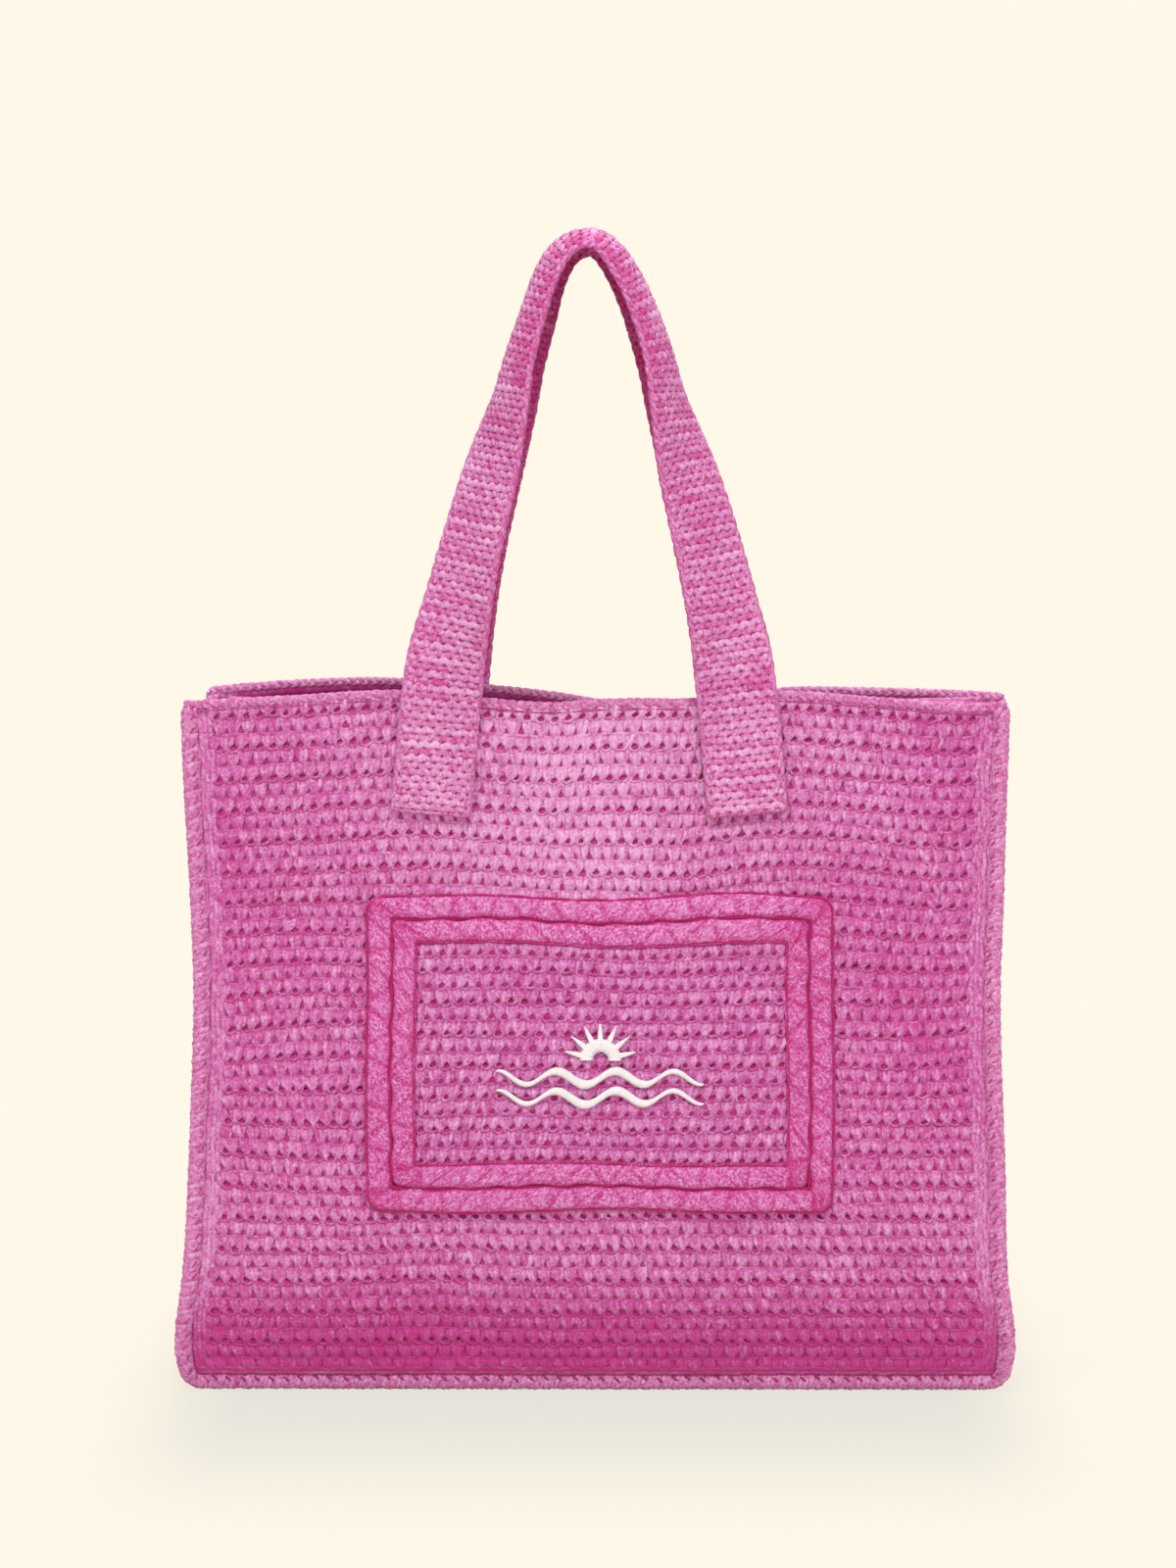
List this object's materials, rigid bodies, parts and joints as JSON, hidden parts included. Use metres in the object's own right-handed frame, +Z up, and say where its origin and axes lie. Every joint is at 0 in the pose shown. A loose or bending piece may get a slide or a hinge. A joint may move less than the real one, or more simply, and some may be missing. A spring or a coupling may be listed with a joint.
{
  "type": "beach bag",
  "caption": "Open-topped crocheted beach tote with raised whip-stitched seams, two fold-over strap handles and a framed patch on the front.",
  "frame": {"origin": "on the floor under the middle of the bag, centre of the bounding box's bottom", "axes": "+Z up, -Y towards the front with the framed patch, +X to the right when the front is looked at"},
  "size_m": [0.4302, 0.1304, 0.597],
  "materials": {
    "body_crochet": "matte pink cotton crochet with a soft sheen",
    "seam_yarn": "matte pink cotton yarn, whip-stitched",
    "strap_crochet": "dense matte pink cotton crochet, a little lighter",
    "sewing_thread": "deep pink sewing thread",
    "patch_crochet": "matte pink cotton crochet, slightly deeper",
    "tape_braid": "saturated pink braided tape",
    "white_embroidery": "white satin-stitch thread"
  },
  "bodies": {
    "bag": {"front_panel": "body_crochet", "rear_panel": "body_crochet", "left_gusset": "body_crochet", "right_gusset": "body_crochet", "base_panel": "body_crochet", "left_base_join": "seam_yarn", "right_base_join": "seam_yarn", "front_left_seam": "seam_yarn", "front_bottom_seam": "seam_yarn", "front_right_seam": "seam_yarn", "rear_left_seam": "seam_yarn", "rear_bottom_seam": "seam_yarn", "rear_right_seam": "seam_yarn", "front_rim_binding": "seam_yarn", "rear_rim_binding": "seam_yarn", "left_rim_binding": "seam_yarn", "right_rim_binding": "seam_yarn", "front_handle_left_end": "strap_crochet", "front_handle_right_end": "strap_crochet", "rear_handle_left_end": "strap_crochet", "rear_handle_right_end": "strap_crochet", "front_handle_left_stitching": "sewing_thread", "front_handle_right_stitching": "sewing_thread", "rear_handle_left_stitching": "sewing_thread", "rear_handle_right_stitching": "sewing_thread", "patch_panel": "patch_crochet", "patch_outer_tape": "tape_braid", "patch_inner_tape": "tape_braid", "motif_sun": "white_embroidery", "motif_upper_wave": "white_embroidery", "motif_lower_wave": "white_embroidery"},
    "front_loop": {"front_handle": "strap_crochet"},
    "rear_loop": {"rear_handle": "strap_crochet"}
  },
  "joints": [
    {"name": "front_handle_fold", "type": "hinge", "parent": "bag", "child": "front_loop", "pos_m": [-0.003, -0.0343, 0.342], "axis": [1, 0, 0], "range_deg": [0, 165]},
    {"name": "rear_handle_fold", "type": "hinge", "parent": "bag", "child": "rear_loop", "pos_m": [-0.0015, 0.0343, 0.342], "axis": [-1, 0, 0], "range_deg": [0, 165]}
  ]
}
